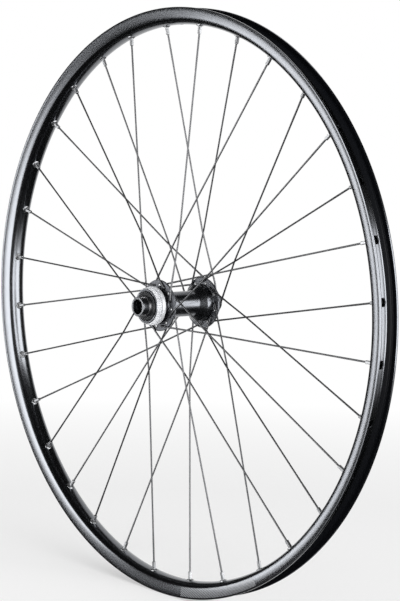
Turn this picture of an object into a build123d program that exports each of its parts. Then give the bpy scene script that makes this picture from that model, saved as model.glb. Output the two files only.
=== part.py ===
from build123d import *
import math
import os

# Front bicycle wheel for a disc brake, built bare, without a tyre.
# Millimetres, +Z up. The origin is the wheel's centre and the axle lies along Y.
# The brake disc side faces -Y, and the valve hole is at the top.

# Rim
BEAD_SEAT_DIAMETER = 622.0
FLANGE_HEIGHT = 5.5
RIM_WIDTH = 24.8
INNER_WIDTH = 21.0
RIM_HEIGHT = 17.9
HOOK_DEPTH = 0.4
HOOK_HEIGHT = 1.7
HOOK_SLANT = 0.9
SIDE_FOOT_WIDTH = 21.6
SIDE_FOOT_HEIGHT = 5.6
HAUNCH_WIDTH = 17.8
HAUNCH_HEIGHT = 2.8
BED_WIDTH = 10.6
SHELF_WIDTH = 2.6
SHELF_DROP = 0.3
WELL_WIDTH = 9.2
WELL_DEPTH = 3.2
RIM_WALL = 1.4

# Spoke, nipple and hole pattern
SPOKE_COUNT = 32
CROSSES = 3
SPOKE_RADIUS = 1.0
SPOKE_HEAD_RADIUS = 2.0
SPOKE_HEAD_THICKNESS = 1.1
ELBOW_CUT = 0.8
HUB_HOLE_RADIUS = 1.25
NIPPLE_STAGGER = 1.2
NIPPLE_RADIUS = 2.0
NIPPLE_FLATS = 3.3
NIPPLE_STAND_OUT = 9.0
NIPPLE_HEAD_RADIUS = 3.0
NIPPLE_HEAD_HEIGHT = 1.6
NIPPLE_BORE_BEYOND = 0.5
EYELET_RADIUS = 4.0
EYELET_LIP = 0.3
EYELET_HEIGHT = 0.9
ACCESS_HOLE_RADIUS = 4.5
VALVE_HOLE_RADIUS = 3.25

# What repeats has eight flat sides, which keeps the wheel light to draw.
SIDES = 8

# Hub shell. Each inset is counted along the axle from the end of the locknut on its side.
OVER_LOCKNUT = 110.0
LEFT_SHELL_INSET = 11.7
RIGHT_SHELL_INSET = 9.0
LEFT_FLANGE_INSET = 29.5
RIGHT_FLANGE_INSET = 19.6
FLANGE_RADIUS = 27.5
FLANGE_THICKNESS = 2.4
FLANGE_CHAMFER = 0.4
FLANGE_HOLE_CIRCLE_RADIUS = 22.3
FLANGE_ROOT_RADIUS = 20.0
HUB_TUBE_RADIUS = 13.6
HUB_TUBE_BORE_RADIUS = 11.0
LEFT_CONE_LENGTH = 9.0
RIGHT_BELL_LENGTH = 14.5
BELL_STEP_INSET = 4.2
BELL_STEP_WIDTH = 0.8
BELL_STEP_INNER_RADIUS = 16.8
BELL_STEP_OUTER_RADIUS = 18.6
BARREL_RADIUS = 18.5
BARREL_CHAMFER = 0.6
SHOULDER_RADIUS = 20.7
SHOULDER_WIDTH = 3.8
SPLINE_TEETH = 52
SPLINE_ROOT_RADIUS = 18.8
SPLINE_TIP_RADIUS = 19.6
SPLINE_LENGTH = 6.3
SPLINE_LEAD_IN = 0.6
LOCK_RING_THREAD_RADIUS = 16.2
LOCK_RING_THREAD_DEPTH = 4.2

# Bearings
BALL_RADIUS = 2.381
BALL_CIRCLE_RADIUS = 12.2
BALL_SPACING = 0.15
LEFT_BALL_INSET = 21.5
RIGHT_BALL_INSET = 16.4
CUP_RADIUS = 15.9
CUP_FRONT = 3.2
CUP_BACK = 3.4
CUP_BACK_BORE_RADIUS = 12.4
CONE_NOSE_RADIUS = 9.72
CONE_NOSE_LENGTH = 2.6
CONE_COLLAR_RADIUS = 12.0
CONE_COLLAR_WIDTH = 1.0
CONE_LAND_RADIUS = 10.4
SEAL_THICKNESS = 1.0
SEAL_BOOT_RADIUS = 15.1
SEAL_RIDGE_RADIUS = 12.8
SEAL_RIDGE_WIDTH = 0.8
SEAL_RIDGE_HEIGHT = 0.5

# Axle
AXLE_BORE_RADIUS = 7.5
AXLE_RADIUS = 8.5
LOCKNUT_NECK_RADIUS = 9.3
LOCKNUT_NECK_LENGTH = 8.5
LOCKNUT_FLANGE_RADIUS = 10.4
LOCKNUT_FLANGE_WIDTH = 2.4
LOCKNUT_CHAMFER = 0.4
LOCKNUT_BORE_RADIUS = 7.75
LOCKNUT_BORE_LENGTH = 4.5

# Clearances
RACE_GAP = 0.04
PRESS_GAP = 0.03
THREAD_GAP = 0.05
SEAT_GAP = 0.05
SEAL_GAP = 0.25
SPOKE_GAP = 0.1
NIPPLE_GAP = 0.4

# Radii, and stations along the axle from the wheel's centre, worked out from the sizes above
SEAT_RADIUS = BEAD_SEAT_DIAMETER / 2
RIM_RADIUS = SEAT_RADIUS + FLANGE_HEIGHT
BED_RADIUS = RIM_RADIUS - RIM_HEIGHT
WELL_RADIUS = SEAT_RADIUS - SHELF_DROP - WELL_DEPTH
NIPPLE_HOLE_RADIUS = NIPPLE_RADIUS + NIPPLE_GAP
PIVOT_RADIUS = BED_RADIUS + RIM_WALL / 2
HALF_OVER_LOCKNUT = OVER_LOCKNUT / 2
LEFT_SHELL_END = LEFT_SHELL_INSET - HALF_OVER_LOCKNUT
RIGHT_SHELL_END = HALF_OVER_LOCKNUT - RIGHT_SHELL_INSET
LEFT_FLANGE = LEFT_FLANGE_INSET - HALF_OVER_LOCKNUT
RIGHT_FLANGE = HALF_OVER_LOCKNUT - RIGHT_FLANGE_INSET
LEFT_BALL_PLANE = LEFT_BALL_INSET - HALF_OVER_LOCKNUT
RIGHT_BALL_PLANE = HALF_OVER_LOCKNUT - RIGHT_BALL_INSET
SPOKE_PITCH = 360.0 / SPOKE_COUNT
SPLINE_BACKING_RADIUS = (LOCK_RING_THREAD_RADIUS + SPLINE_ROOT_RADIUS) / 2
LACING_ANGLE = CROSSES * 2 * SPOKE_PITCH
FIRST_SPOKE_ANGLE = 90.0 - SPOKE_PITCH / 2
COS_45 = math.cos(math.radians(45))


def filled(outline):
    """The face inside an outline of (y, radius) points."""
    return make_face(Polyline(*[(radius, y) for y, radius in outline], close=True))


def turned(outline):
    """A ring turned about the axle, from an outline of (y, radius) points."""
    return revolve(filled(outline), Axis.Y)


def mirrored_outline(half):
    """A closed outline from its +Y half, listed from the middle outwards and back."""
    return half + [(-y, radius) for y, radius in reversed(half)]


def on_wheel(radius, angle, y):
    """The point at a radius and an angle, from +X towards +Z, at a station along the axle."""
    turn = math.radians(angle)
    return Vector(radius * math.cos(turn), y, radius * math.sin(turn))


def peg_between(start, end, radius):
    """An eight-sided peg from one point to another, with its corners at the radius."""
    plane = Plane(origin=start, z_dir=end - start)
    return extrude(plane * RegularPolygon(radius, SIDES), (end - start).length)


def hole_between(start, end, radius):
    """The cutter of an eight-sided hole, with its flats at the radius."""
    plane = Plane(origin=start, z_dir=end - start)
    outline = RegularPolygon(radius, SIDES, major_radius=False)
    return extrude(plane * outline, (end - start).length)


def drill_between(start, end, radius):
    """The cutter of a round hole from one point to another."""
    plane = Plane(origin=start, z_dir=end - start)
    return extrude(plane * Circle(radius), (end - start).length)


# The spoke pattern

def rim_angle(index):
    return FIRST_SPOKE_ANGLE + SPOKE_PITCH * index


def outboard(index):
    """-1 for a spoke of the disc side flange, +1 for one of the far flange."""
    return -1 if index % 2 == 0 else 1


def lean(index):
    """+1 for a spoke that leaves its flange behind its nipple, -1 for one ahead of it."""
    return 1 if index % 4 < 2 else -1


def flange_station(index):
    return LEFT_FLANGE if outboard(index) < 0 else RIGHT_FLANGE


def nipple_pivot(index):
    """The middle of the rim's spoke bed wall, where the nipple tilts to meet its spoke."""
    return on_wheel(PIVOT_RADIUS, rim_angle(index), outboard(index) * NIPPLE_STAGGER)


def spoke_route(index):
    """The spoke's centre line, from under its head to its end inside the nipple.

    A spoke that leans forward has its head inside the flange and runs outside it.
    It crosses under the last spoke that it meets, so each of the two bends there.
    """
    station = flange_station(index)
    outward = outboard(index) * lean(index)
    angle = rim_angle(index)
    hole_angle = angle - lean(index) * LACING_ANGLE
    half_flange = FLANGE_THICKNESS / 2
    head = on_wheel(FLANGE_HOLE_CIRCLE_RADIUS, hole_angle, station - outward * (half_flange + SEAT_GAP))
    elbow_station = station + outward * (half_flange + SPOKE_RADIUS + SPOKE_GAP)
    elbow = on_wheel(FLANGE_HOLE_CIRCLE_RADIUS, hole_angle, elbow_station)
    pivot = nipple_pivot(index)

    flat_run = Vector(pivot.X - elbow.X, 0, pivot.Z - elbow.Z)
    along = flat_run.normalized()
    crossing_ray = on_wheel(1, angle - lean(index) * SPOKE_PITCH, 0)
    crossing_share = (elbow.Z * crossing_ray.X - elbow.X * crossing_ray.Z) / (
        flat_run.X * crossing_ray.Z - flat_run.Z * crossing_ray.X
    )
    middle_station = station + (pivot.Y - station) * crossing_share
    crossing_station = middle_station - outward * (SPOKE_RADIUS + SPOKE_GAP / 2)
    crossing = elbow + flat_run * crossing_share
    crossing.Y = crossing_station

    route = [head, elbow - Vector(0, outward * ELBOW_CUT, 0), elbow + along * ELBOW_CUT]
    if lean(index) > 0:
        foot = -(elbow.X * along.X + elbow.Z * along.Z)
        nearest = math.hypot(elbow.X + along.X * foot, elbow.Z + along.Z * foot)
        to_flange_edge = math.sqrt(FLANGE_RADIUS ** 2 - nearest ** 2) + foot
        route.append(elbow + along * (to_flange_edge + SPOKE_RADIUS))
    return route + [crossing, pivot]


# Rim, eyelets, nipples and spokes

def make_rim():
    half_width = RIM_WIDTH / 2
    half_inner = INNER_WIDTH / 2
    half_well = WELL_WIDTH / 2
    shelf_edge = half_inner - SHELF_WIDTH
    nose = half_inner - HOOK_DEPTH
    nose_foot = RIM_RADIUS - HOOK_HEIGHT
    outside = [
        (half_well, WELL_RADIUS),
        (shelf_edge, SEAT_RADIUS - SHELF_DROP),
        (half_inner, SEAT_RADIUS),
        (half_inner, nose_foot - HOOK_SLANT),
        (nose, nose_foot),
        (nose, RIM_RADIUS),
        (half_width, RIM_RADIUS),
        (SIDE_FOOT_WIDTH / 2, BED_RADIUS + SIDE_FOOT_HEIGHT),
        (HAUNCH_WIDTH / 2, BED_RADIUS + HAUNCH_HEIGHT),
        (BED_WIDTH / 2, BED_RADIUS),
    ]
    section = filled(mirrored_outline(outside))
    cavity = offset(section, -RIM_WALL, kind=Kind.INTERSECTION)
    rim = revolve(section - cavity, Axis.Y)
    cutters = []
    for index in range(SPOKE_COUNT):
        angle = rim_angle(index)
        y = outboard(index) * NIPPLE_STAGGER
        inside = on_wheel(BED_RADIUS - RIM_WALL, angle, y)
        middle = on_wheel(BED_RADIUS + 2 * RIM_WALL, angle, y)
        cutters.append(hole_between(inside, middle, NIPPLE_HOLE_RADIUS))
        under_well = on_wheel(WELL_RADIUS - 2 * RIM_WALL, angle, 0)
        over_well = on_wheel(WELL_RADIUS + RIM_WALL, angle, 0)
        cutters.append(hole_between(under_well, over_well, ACCESS_HOLE_RADIUS))
    valve_inside = on_wheel(BED_RADIUS - RIM_WALL, 90, 0)
    valve_outside = on_wheel(WELL_RADIUS + RIM_WALL, 90, 0)
    cutters.append(drill_between(valve_inside, valve_outside, VALVE_HOLE_RADIUS))
    return rim - cutters


def make_eyelet():
    """A pressed ring under one nipple: its seat is at the origin and it rises along +Z."""
    outline = RegularPolygon(EYELET_RADIUS, SIDES)
    foot = extrude(outline, EYELET_LIP)
    crown = Plane.XY.offset(EYELET_LIP) * outline
    tip_outline = RegularPolygon(NIPPLE_HOLE_RADIUS + EYELET_LIP, SIDES, major_radius=False)
    tip = Plane.XY.offset(EYELET_HEIGHT) * tip_outline
    bore = extrude(RegularPolygon(NIPPLE_HOLE_RADIUS, SIDES, major_radius=False), EYELET_HEIGHT)
    return foot + loft([crown, tip]) - bore


def make_eyelets():
    eyelet = make_eyelet()
    placed = []
    for index in range(SPOKE_COUNT):
        y = outboard(index) * NIPPLE_STAGGER
        seat = on_wheel(BED_RADIUS - SEAT_GAP, rim_angle(index), y)
        inward = on_wheel(-1, rim_angle(index), 0)
        placed.append(Plane(origin=seat, x_dir=(0, 1, 0), z_dir=inward).location * eyelet)
    return Compound(children=placed)


def make_nipple():
    """A nipple with its pivot at the origin and its head along +Z."""
    foot_station = -RIM_WALL / 2 - NIPPLE_STAND_OUT
    neck_station = RIM_WALL / 2
    corners = RegularPolygon(NIPPLE_RADIUS, SIDES, rotation=180 / SIDES)
    section = corners & Rectangle(NIPPLE_FLATS, NIPPLE_FLATS)
    body = extrude(Plane.XY.offset(foot_station) * section, neck_station - foot_station)
    flare = NIPPLE_HEAD_RADIUS - NIPPLE_RADIUS
    neck = Plane.XY.offset(neck_station) * RegularPolygon(NIPPLE_RADIUS, SIDES)
    crown = Plane.XY.offset(neck_station + flare) * RegularPolygon(NIPPLE_HEAD_RADIUS, SIDES)
    head = extrude(crown, NIPPLE_HEAD_HEIGHT)
    bore_outline = RegularPolygon(SPOKE_RADIUS + SPOKE_GAP, SIDES, major_radius=False)
    bore = extrude(Plane.XY.offset(foot_station) * bore_outline, NIPPLE_BORE_BEYOND - foot_station)
    return body + loft([neck, crown]) + head - bore


def make_nipples():
    nipple = make_nipple()
    placed = []
    for index in range(SPOKE_COUNT):
        crossing, pivot = spoke_route(index)[-2:]
        place = Plane(origin=pivot, x_dir=(0, 1, 0), z_dir=pivot - crossing)
        placed.append(place.location * nipple)
    return Compound(children=placed)


def make_spoke(index):
    """A wire with a flat head, an elbow at the flange and a bend at its last crossing."""
    route = spoke_route(index)
    head_end = route[0] - (route[1] - route[0]).normalized() * SPOKE_HEAD_THICKNESS
    head = peg_between(head_end, route[0], SPOKE_HEAD_RADIUS)
    section = Plane(origin=route[0], z_dir=route[1] - route[0]) * RegularPolygon(SPOKE_RADIUS, SIDES)
    wire = sweep(section, path=Polyline(*route), transition=Transition.RIGHT)
    return head + wire


# Hub

def make_spline():
    """The fine teeth that a brake disc slides onto."""
    half_tooth = math.pi / SPLINE_TEETH
    corners = []
    for step in range(2 * SPLINE_TEETH):
        radius = SPLINE_TIP_RADIUS if step % 2 == 0 else SPLINE_ROOT_RADIUS
        corners.append((radius * math.cos(half_tooth * step), radius * math.sin(half_tooth * step)))
    teeth = make_face(Polyline(*corners, close=True)) - Circle(SPLINE_BACKING_RADIUS)
    front = Plane(origin=(0, LEFT_SHELL_END + SPLINE_LEAD_IN, 0), z_dir=(0, 1, 0))
    return extrude(front * teeth, SPLINE_LENGTH)


def flange_outline(station):
    """The edge of one flange, from its left root to its right root."""
    left = station - FLANGE_THICKNESS / 2
    right = station + FLANGE_THICKNESS / 2
    return [
        (left, FLANGE_RADIUS - FLANGE_CHAMFER),
        (left + FLANGE_CHAMFER, FLANGE_RADIUS),
        (right - FLANGE_CHAMFER, FLANGE_RADIUS),
        (right, FLANGE_RADIUS - FLANGE_CHAMFER),
    ]


def make_hub_shell():
    spline_end = LEFT_SHELL_END + SPLINE_LEAD_IN + SPLINE_LENGTH
    under_spline = SPLINE_ROOT_RADIUS - SPLINE_LEAD_IN / 2
    shoulder_end = spline_end + SHOULDER_WIDTH
    half_flange = FLANGE_THICKNESS / 2
    left_inner_face = LEFT_FLANGE + half_flange
    right_inner_face = RIGHT_FLANGE - half_flange
    left_seat_end = LEFT_BALL_PLANE + CUP_BACK
    right_seat_end = RIGHT_BALL_PLANE - CUP_BACK
    outline = [
        (LEFT_SHELL_END, LOCK_RING_THREAD_RADIUS),
        (LEFT_SHELL_END, under_spline - SPLINE_LEAD_IN / 2),
        (LEFT_SHELL_END + SPLINE_LEAD_IN, under_spline),
        (spline_end, under_spline),
        (spline_end, SHOULDER_RADIUS),
        (shoulder_end, SHOULDER_RADIUS),
        (shoulder_end, BARREL_RADIUS),
        (LEFT_FLANGE - half_flange, BARREL_RADIUS),
    ]
    outline += flange_outline(LEFT_FLANGE)
    outline += [
        (left_inner_face, FLANGE_ROOT_RADIUS),
        (left_inner_face + LEFT_CONE_LENGTH, HUB_TUBE_RADIUS),
        (right_inner_face - RIGHT_BELL_LENGTH, HUB_TUBE_RADIUS),
        (right_inner_face - BELL_STEP_INSET - BELL_STEP_WIDTH, BELL_STEP_INNER_RADIUS),
        (right_inner_face - BELL_STEP_INSET, BELL_STEP_OUTER_RADIUS),
        (right_inner_face, FLANGE_ROOT_RADIUS),
    ]
    outline += flange_outline(RIGHT_FLANGE)
    outline += [
        (RIGHT_FLANGE + half_flange, BARREL_RADIUS),
        (RIGHT_SHELL_END - BARREL_CHAMFER, BARREL_RADIUS),
        (RIGHT_SHELL_END, BARREL_RADIUS - BARREL_CHAMFER),
        (RIGHT_SHELL_END, CUP_RADIUS),
        (right_seat_end, CUP_RADIUS),
        (right_seat_end, HUB_TUBE_BORE_RADIUS),
        (left_seat_end, HUB_TUBE_BORE_RADIUS),
        (left_seat_end, CUP_RADIUS),
        (LEFT_SHELL_END + LOCK_RING_THREAD_DEPTH, CUP_RADIUS),
        (LEFT_SHELL_END + LOCK_RING_THREAD_DEPTH, LOCK_RING_THREAD_RADIUS),
    ]
    holes = []
    reach = FLANGE_THICKNESS
    for index in range(SPOKE_COUNT):
        angle = rim_angle(index) - lean(index) * LACING_ANGLE
        start = on_wheel(FLANGE_HOLE_CIRCLE_RADIUS, angle, flange_station(index) - reach)
        end = on_wheel(FLANGE_HOLE_CIRCLE_RADIUS, angle, flange_station(index) + reach)
        holes.append(hole_between(start, end, HUB_HOLE_RADIUS))
    return turned(outline) + make_spline() - holes


# Bearings. Each is laid out from its ball plane, with depth counted towards the wheel's centre.

def laid_out(ball_plane, outline):
    """An outline of (depth, radius) points, as stations along the axle."""
    inward = -math.copysign(1, ball_plane)
    return [(ball_plane + inward * depth, radius) for depth, radius in outline]


def make_bearing_cup(ball_plane):
    race_depth = (BALL_RADIUS + RACE_GAP) * COS_45
    race_radius = BALL_CIRCLE_RADIUS + race_depth
    wall_radius = BALL_CIRCLE_RADIUS + BALL_RADIUS + RACE_GAP
    outer_radius = CUP_RADIUS - PRESS_GAP
    race_start = race_depth + race_radius - wall_radius
    race_end = race_depth + race_radius - CUP_BACK_BORE_RADIUS
    return turned(laid_out(ball_plane, [
        (-CUP_FRONT, outer_radius),
        (-CUP_FRONT, wall_radius),
        (race_start, wall_radius),
        (race_end, CUP_BACK_BORE_RADIUS),
        (CUP_BACK, CUP_BACK_BORE_RADIUS),
        (CUP_BACK, outer_radius),
    ]))


def cone_race_depth(radius):
    """The depth at which the cone's sloping race has a radius."""
    touch_depth = (BALL_RADIUS + RACE_GAP) * COS_45
    return BALL_CIRCLE_RADIUS - 2 * touch_depth - radius


def cone_collar_end():
    return cone_race_depth(CONE_COLLAR_RADIUS) - CONE_COLLAR_WIDTH


def make_cone(ball_plane):
    race_start = cone_race_depth(CONE_NOSE_RADIUS)
    race_end = cone_race_depth(CONE_COLLAR_RADIUS)
    collar_end = cone_collar_end()
    land_end = abs(ball_plane) - HALF_OVER_LOCKNUT + LOCKNUT_NECK_LENGTH
    bore_radius = AXLE_RADIUS + THREAD_GAP
    return turned(laid_out(ball_plane, [
        (CONE_NOSE_LENGTH, bore_radius),
        (CONE_NOSE_LENGTH, CONE_NOSE_RADIUS),
        (race_start, CONE_NOSE_RADIUS),
        (race_end, CONE_COLLAR_RADIUS),
        (collar_end, CONE_COLLAR_RADIUS),
        (collar_end, CONE_LAND_RADIUS),
        (land_end, CONE_LAND_RADIUS),
        (land_end, bore_radius),
    ]))


def make_ball():
    """A ball of 26 flats with its corners on the ball's surface."""
    edge = 2 * BALL_RADIUS / math.sqrt(5 + 2 * math.sqrt(2))
    side = edge * (1 + math.sqrt(2))
    block = Box(side, side, side)
    return chamfer(block.edges(), edge / math.sqrt(2))


def make_balls(ball_plane):
    ball = make_ball()
    room = 2 * BALL_RADIUS + BALL_SPACING
    count = int(2 * math.pi * BALL_CIRCLE_RADIUS / room)
    placed = []
    for index in range(count):
        centre = on_wheel(BALL_CIRCLE_RADIUS, 360.0 / count * index, ball_plane)
        placed.append(Pos(centre) * ball)
    return Compound(children=placed)


def make_seal(ball_plane, shell_end):
    """A dust seal pressed in outside the cup, whose boot reaches the end of the shell."""
    seat_start = cone_collar_end() - SEAL_GAP
    seat_end = seat_start - SEAL_THICKNESS
    boot_end = abs(ball_plane) - abs(shell_end) + SEAL_RIDGE_HEIGHT
    lip_radius = CONE_LAND_RADIUS + SEAL_GAP
    ridge_outer = SEAL_RIDGE_RADIUS + SEAL_RIDGE_WIDTH
    return turned(laid_out(ball_plane, [
        (seat_start, lip_radius),
        (seat_start, CUP_RADIUS - PRESS_GAP),
        (seat_end, CUP_RADIUS - PRESS_GAP),
        (seat_end, SEAL_BOOT_RADIUS),
        (boot_end, SEAL_BOOT_RADIUS),
        (boot_end, ridge_outer),
        (boot_end - SEAL_RIDGE_HEIGHT, SEAL_RIDGE_RADIUS),
        (boot_end, lip_radius),
    ]))


# Axle

def make_axle_tube():
    half_length = HALF_OVER_LOCKNUT - LOCKNUT_BORE_LENGTH
    return turned([
        (-half_length, AXLE_BORE_RADIUS),
        (-half_length, AXLE_RADIUS),
        (half_length, AXLE_RADIUS),
        (half_length, AXLE_BORE_RADIUS),
    ])


def make_locknut(side):
    """The end nut on one side, -1 or +1. It butts against the bearing cone."""
    end = HALF_OVER_LOCKNUT
    thread_radius = AXLE_RADIUS + THREAD_GAP
    outline = [
        (end, LOCKNUT_BORE_RADIUS + LOCKNUT_CHAMFER),
        (end, LOCKNUT_FLANGE_RADIUS - LOCKNUT_CHAMFER),
        (end - LOCKNUT_CHAMFER, LOCKNUT_FLANGE_RADIUS),
        (end - LOCKNUT_FLANGE_WIDTH, LOCKNUT_FLANGE_RADIUS),
        (end - LOCKNUT_FLANGE_WIDTH, LOCKNUT_NECK_RADIUS),
        (end - LOCKNUT_NECK_LENGTH, LOCKNUT_NECK_RADIUS),
        (end - LOCKNUT_NECK_LENGTH, thread_radius),
        (end - LOCKNUT_BORE_LENGTH, thread_radius),
        (end - LOCKNUT_BORE_LENGTH, LOCKNUT_BORE_RADIUS),
        (end - LOCKNUT_CHAMFER, LOCKNUT_BORE_RADIUS),
    ]
    return turned([(side * y, radius) for y, radius in outline])


# Every piece, by its node's name
pieces = {
    "rim": make_rim(),
    "eyelets": make_eyelets(),
    "nipples": make_nipples(),
    "hub_shell": make_hub_shell(),
    "left_bearing_cup": make_bearing_cup(LEFT_BALL_PLANE),
    "right_bearing_cup": make_bearing_cup(RIGHT_BALL_PLANE),
    "left_cone": make_cone(LEFT_BALL_PLANE),
    "right_cone": make_cone(RIGHT_BALL_PLANE),
    "left_balls": make_balls(LEFT_BALL_PLANE),
    "right_balls": make_balls(RIGHT_BALL_PLANE),
    "left_dust_seal": make_seal(LEFT_BALL_PLANE, LEFT_SHELL_END),
    "right_dust_seal": make_seal(RIGHT_BALL_PLANE, RIGHT_SHELL_END),
    "axle_tube": make_axle_tube(),
    "left_locknut": make_locknut(-1),
    "right_locknut": make_locknut(1),
}
for number in range(SPOKE_COUNT):
    pieces[f"spoke_{number + 1:02d}"] = make_spoke(number)

os.makedirs("parts", exist_ok=True)
for name, shape in pieces.items():
    export_step(shape, f"parts/{name}.step")
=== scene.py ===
import math

import bmesh
import bpy
from mathutils import Matrix, Quaternion, Vector


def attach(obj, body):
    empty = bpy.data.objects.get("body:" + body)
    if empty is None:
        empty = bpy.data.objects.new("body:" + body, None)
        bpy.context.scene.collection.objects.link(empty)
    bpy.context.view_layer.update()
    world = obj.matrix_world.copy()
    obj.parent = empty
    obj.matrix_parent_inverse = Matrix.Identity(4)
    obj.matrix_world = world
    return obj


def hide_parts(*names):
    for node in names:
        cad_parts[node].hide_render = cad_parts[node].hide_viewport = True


# A front bicycle wheel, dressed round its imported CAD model. Sizes are in millimetres
# where they are named, and every mesh is in metres. The axle lies along Y and +Z is up.

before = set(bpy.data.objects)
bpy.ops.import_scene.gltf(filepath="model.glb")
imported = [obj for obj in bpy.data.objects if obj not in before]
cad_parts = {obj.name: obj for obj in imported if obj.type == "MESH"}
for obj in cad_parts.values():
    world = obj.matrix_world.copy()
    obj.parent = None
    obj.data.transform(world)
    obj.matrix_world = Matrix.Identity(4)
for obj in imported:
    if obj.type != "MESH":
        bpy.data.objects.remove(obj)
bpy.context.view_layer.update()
MM = 0.001

# Rim
RIM_RADIUS = 316.5
SEAT_RADIUS = 311.0
BED_RADIUS = 298.6
WELL_RADIUS = 307.5
RIM_WALL = 1.4
RIM_HALF_WIDTH = 12.4
HALF_INNER_WIDTH = 10.5
HOOK_DEPTH = 0.4
BED_CURVE = 14.0
SIDE_FOOT = 304.3
RIM_STEPS = 384
HATCH_ANGLE = -73.0
HATCH_HALF_SPAN = 11.5
HATCH_PITCH = 2.6
HATCH_INNER, HATCH_OUTER = 304.5, 314.5
HATCH_RADIUS = 308.0
MARK_PITCH = 0.00045
ACCESS_HOLE_RADIUS = 4.5
NIPPLE_HOLE_RADIUS = 2.4
EYELET_RADIUS = 4.0
VALVE_HOLE_RADIUS = 3.25
VALVE_ANGLE = 90

# Spokes, nipples and eyelets
SPOKES = 32
PITCH = 360.0 / SPOKES
LACING_ANGLE = 6 * PITCH
WIRE_RADIUS = 1.0
WIRE_MIDDLE_RADIUS = 0.9
HEAD_RADIUS = 2.0
HEAD_THICKNESS = 1.1
HOLE_CIRCLE = 22.3
ELBOW_CUT = 0.8
STAGGER = 1.2
NIPPLE_RADIUS = 2.0
NIPPLE_FLATS = 3.3
NIPPLE_STAND_OUT = 9.0
NIPPLE_BORE = 1.12
NIPPLE_TOP = 3.3
THIN_FROM_ELBOW = 22.0
THIN_FROM_NIPPLE = 36.0
THIN_BLEND = 14.0

# Hub
HALF_WIDTH = 55.0
LEFT_FLANGE = -25.5
RIGHT_FLANGE = 35.4
FLANGE_THICKNESS = 2.4
FLANGE_RADIUS = 27.5
LEFT_END = -43.3
RIGHT_END = 46.0
LEFT_BALLS = -33.5
RIGHT_BALLS = 38.6
SPLINE_TEETH = 52
SPLINE_ROOT = 18.8
SPLINE_TIP = 19.6
SPLINE_START = -42.7
SPLINE_END = -36.4
SHELL_RADIUS = 18.5
SHOULDER_RADIUS = 20.7
BARREL_RADIUS = 13.6
COLLAR_RADIUS = 20.0
BEARING_SEAT = 15.9
SEAT_REACH = 3.4
CORE_RADIUS = 11.0
SHOULDER_WIDTH = 3.8
FLANGE_CHAMFER = 0.4
SPOKE_HOLE_RADIUS = 1.25
COUNTERSINK = 0.45
COUNTERSINK_DEPTH = 0.65
SEAL_BORE = 10.65
SEAL_RADIUS = 15.87


# Meshes

def new_object(name, points, faces, material, sharp=35.0):
    """A mesh object from points in millimetres, smooth but for edges sharper than an angle."""
    mesh = bpy.data.meshes.new(name)
    mesh.from_pydata([tuple(c * MM for c in p) for p in points], [], faces)
    mesh.validate()
    work = bmesh.new()
    work.from_mesh(mesh)
    bmesh.ops.recalc_face_normals(work, faces=work.faces)
    work.to_mesh(mesh)
    work.free()
    item = bpy.data.objects.new(name, mesh)
    bpy.context.scene.collection.objects.link(item)
    mesh.materials.append(material)
    smooth(item, sharp)
    return item


def smooth(item, sharp=35.0):
    mesh = item.data
    mesh.polygons.foreach_set("use_smooth", [True] * len(mesh.polygons))
    if hasattr(mesh, "set_sharp_from_angle"):
        mesh.set_sharp_from_angle(angle=math.radians(sharp))
    mesh.update()


def rounded(corners, closed=True, steps=4):
    """A 2-D outline with its corners rounded. Each corner is (a, b) or (a, b, radius)."""
    made = []
    count = len(corners)
    for i, corner in enumerate(corners):
        here = Vector(corner[:2])
        radius = corner[2] if len(corner) > 2 else 0.0
        if radius <= 0 or (not closed and i in (0, count - 1)):
            made.append(tuple(here))
            continue
        before = Vector(corners[i - 1][:2]) - here
        after = Vector(corners[(i + 1) % count][:2]) - here
        half = before.angle(after) / 2
        if half < 0.02 or half > math.pi / 2 - 0.02:
            made.append(tuple(here))
            continue
        reach = min(radius / math.tan(half), before.length * 0.49, after.length * 0.49)
        bend = reach * math.tan(half)
        middle = here + (before.normalized() + after.normalized()).normalized() * (bend / math.sin(half))
        start = here + before.normalized() * reach - middle
        end = here + after.normalized() * reach - middle
        turn = start.angle_signed(end)
        for k in range(steps + 1):
            a = -turn * k / steps
            made.append((middle.x + start.x * math.cos(a) - start.y * math.sin(a),
                         middle.y + start.x * math.sin(a) + start.y * math.cos(a)))
    return made


def ring_mesh(outline, steps, origin=0):
    """Points and faces of an outline of (y, radius) points turned about Y."""
    points, faces = [], []
    count = len(outline)
    for i in range(steps):
        a = 2 * math.pi * i / steps
        c, s = math.cos(a), math.sin(a)
        points += [(r * c, y, r * s) for y, r in outline]
    for i in range(steps):
        j = (i + 1) % steps
        for k in range(count):
            n = (k + 1) % count
            faces.append((origin + i * count + k, origin + i * count + n,
                          origin + j * count + n, origin + j * count + k))
    return points, faces


def turned(name, outline, material, steps=96, sharp=35.0):
    points, faces = ring_mesh(outline, steps)
    return new_object(name, points, faces, material, sharp)


def on_wheel(radius, angle, y):
    a = math.radians(angle)
    return Vector((radius * math.cos(a), y, radius * math.sin(a)))


def swept(path, radii, sides):
    """Points and faces of a round wire along a path, with a radius at each point."""
    points, faces = [], []
    direction = (path[1] - path[0]).normalized()
    across = direction.orthogonal().normalized()
    for i, here in enumerate(path):
        ahead = path[min(i + 1, len(path) - 1)] - path[max(i - 1, 0)]
        turn = direction.rotation_difference(ahead.normalized())
        direction = ahead.normalized()
        across = (turn @ across).normalized()
        up = direction.cross(across)
        for k in range(sides):
            a = 2 * math.pi * k / sides
            points.append(here + (across * math.cos(a) + up * math.sin(a)) * radii[i])
    for i in range(len(path) - 1):
        for k in range(sides):
            n = (k + 1) % sides
            faces.append((i * sides + k, i * sides + n, (i + 1) * sides + n, (i + 1) * sides + k))
    faces.append(tuple(range(sides)))
    faces.append(tuple(range((len(path) - 1) * sides, len(path) * sides)))
    return points, faces


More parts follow.
